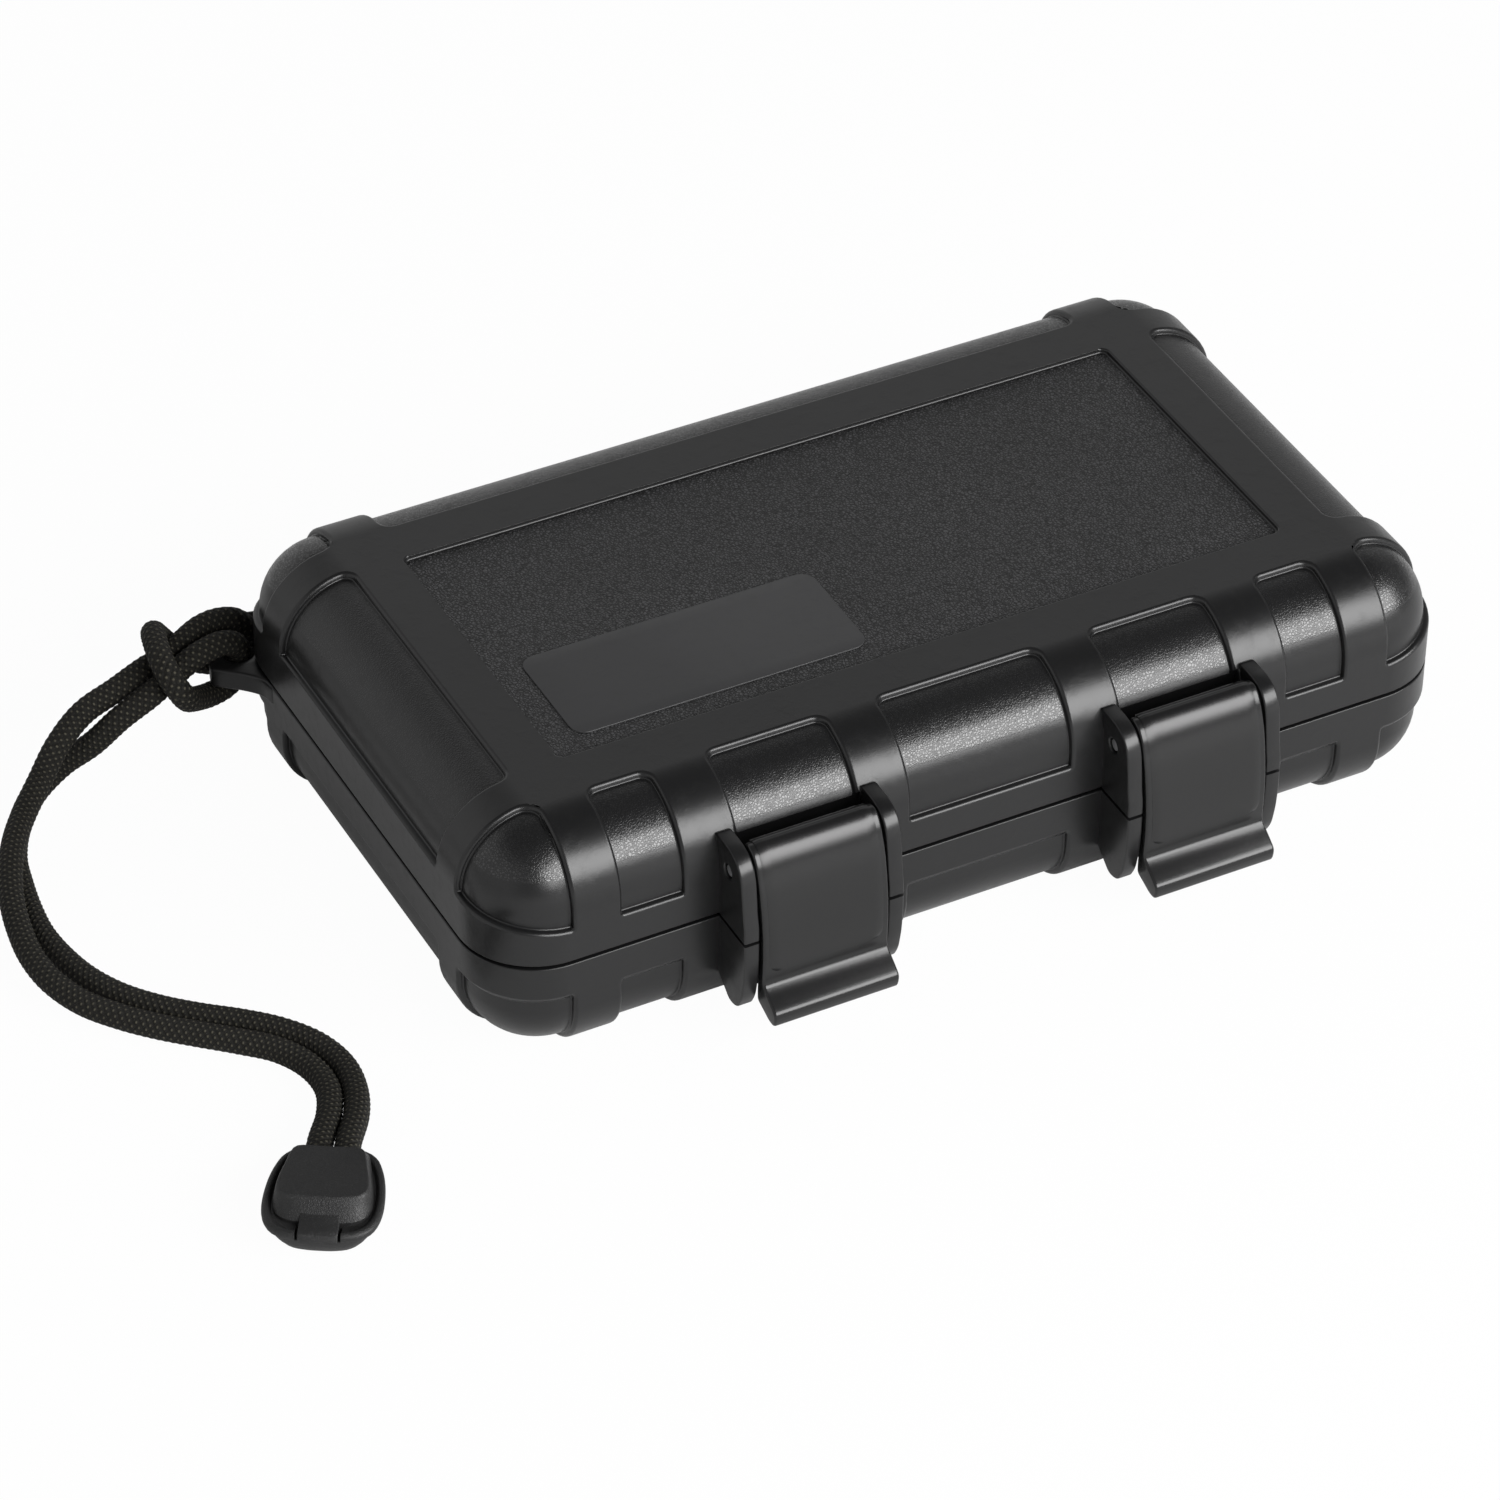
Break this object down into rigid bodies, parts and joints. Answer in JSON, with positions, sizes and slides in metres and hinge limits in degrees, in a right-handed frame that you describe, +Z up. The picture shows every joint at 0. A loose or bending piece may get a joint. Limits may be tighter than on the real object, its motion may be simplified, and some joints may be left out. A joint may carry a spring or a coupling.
{
  "type": "microphone case",
  "caption": "Small watertight microphone case with a hinged lid, snap latches, a rim seal, cut foam and a doubled wrist lanyard.",
  "frame": {"origin": "middle of the flat underside of the base shell, without the lanyard", "axes": "+X along the length with the lanyard at -X, +Y from the latches to the hinges, +Z up from the underside to the lid"},
  "size_m": [0.2589, 0.1494, 0.0488],
  "materials": {
    "shell_black": "satin moulding, grained in places",
    "latch_black": "semi-gloss moulding",
    "seal_rubber": "matt",
    "pin_steel": "plain",
    "foam_charcoal": "open-cell foam",
    "cord_black": "braided",
    "cord_end_black": "matt moulding"
  },
  "bodies": {
    "base": {"base_shell": "shell_black", "rim_seal": "seal_rubber", "hinge_pin_left": "pin_steel", "hinge_pin_right": "pin_steel", "foam_floor_pad": "foam_charcoal", "foam_cut_layer": "foam_charcoal", "lanyard_hitch": "cord_black", "lanyard_strand_near": "cord_black", "lanyard_strand_far": "cord_black", "cord_end_base": "cord_end_black", "cord_end_cover": "cord_end_black"},
    "lid": {"lid_shell": "shell_black", "lid_foam": "foam_charcoal", "latch_pin_left": "pin_steel", "latch_pin_right": "pin_steel"},
    "latch_left_body": {"latch_left": "latch_black"},
    "latch_right_body": {"latch_right": "latch_black"}
  },
  "joints": [
    {"name": "lid_hinge", "type": "hinge", "parent": "base", "child": "lid", "pos_m": [0, 0.0609, 0.0243], "axis": [-1, 0, 0], "range_deg": [0, 105]},
    {"name": "latch_left_hinge", "type": "hinge", "parent": "lid", "child": "latch_left_body", "pos_m": [-0.0386, -0.0599, 0.0364], "axis": [-1, 0, 0], "range_deg": [0, 100]},
    {"name": "latch_right_hinge", "type": "hinge", "parent": "lid", "child": "latch_right_body", "pos_m": [0.0386, -0.0599, 0.0364], "axis": [-1, 0, 0], "range_deg": [0, 100]}
  ]
}
